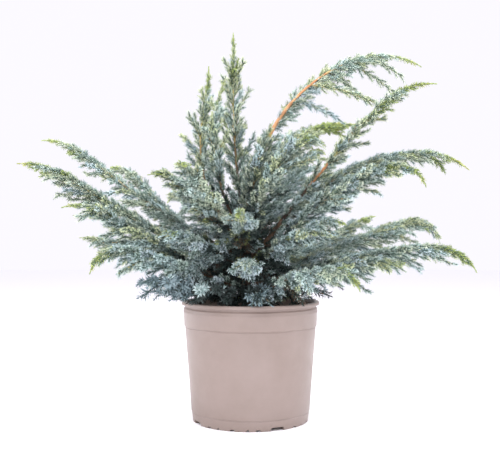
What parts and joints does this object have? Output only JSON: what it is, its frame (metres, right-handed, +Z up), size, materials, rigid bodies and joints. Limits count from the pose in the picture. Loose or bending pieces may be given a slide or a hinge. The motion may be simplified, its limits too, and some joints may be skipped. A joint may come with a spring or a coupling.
{
  "type": "potted meyeri flaky juniper",
  "caption": "Young blue-green flaky juniper with arching, needle-clad limbs, planted in a round taupe nursery pot that stands on its flat foot.",
  "frame": {"origin": "centre of the pot's flat underside, on the surface that it stands on", "axes": "+Z up, +X towards the crown's longer side, -Y towards the side seen in the picture"},
  "size_m": [0.8575, 0.6232, 0.7486],
  "materials": {
    "pot": "taupe moulded plastic with a soft sheen",
    "soil": "dark, rough growing medium of bark and peat",
    "bark": "thin brown to orange bark, flaking on the older wood",
    "needles": "blue-green needles with a pale bloom, yellow-green at the tips"
  },
  "bodies": {
    "root": {"pot": "pot", "soil": "soil", "trunk": "bark", "bough_leader_tall": "bark", "bough_leader_left": "bark", "bough_right_arch": "bark", "bough_right_high": "bark", "bough_right_middle": "bark", "bough_right_droop": "bark", "bough_right_lower": "bark", "bough_right_long": "bark", "bough_right_nod": "bark", "bough_left_high": "bark", "bough_left_main": "bark", "bough_left_middle": "bark", "bough_left_nod": "bark", "bough_left_second": "bark", "bough_right_back": "bark", "bough_arch_yellow": "bark", "bough_back_right": "bark", "bough_back_middle": "bark", "bough_back_left": "bark", "mass_leader_tall": "needles", "mass_leader_left": "needles", "mass_leader_middle": "needles", "mass_right_arch": "needles", "mass_right_high": "needles", "mass_right_middle": "needles", "mass_right_droop": "needles", "mass_right_lower": "needles", "mass_right_long": "needles", "mass_right_under": "needles", "mass_right_nod": "needles", "mass_left_high": "needles", "mass_left_main": "needles", "mass_left_middle": "needles", "mass_left_low": "needles", "mass_left_nod": "needles", "mass_left_skirt": "needles", "mass_left_inner": "needles", "mass_left_upright": "needles", "mass_left_second": "needles", "mass_right_inner": "needles", "mass_right_back": "needles", "mass_arch_yellow": "needles", "mass_arch_inner": "needles", "mass_front_high": "needles", "mass_front_left": "needles", "mass_front_middle": "needles", "mass_front_right": "needles", "mass_front_low": "needles", "mass_skirt_left": "needles", "mass_skirt_right": "needles", "mass_back_right": "needles", "mass_back_middle": "needles", "mass_back_left": "needles", "mass_back_low_right": "needles", "mass_back_low_left": "needles", "mass_back_low": "needles"}
  },
  "joints": []
}
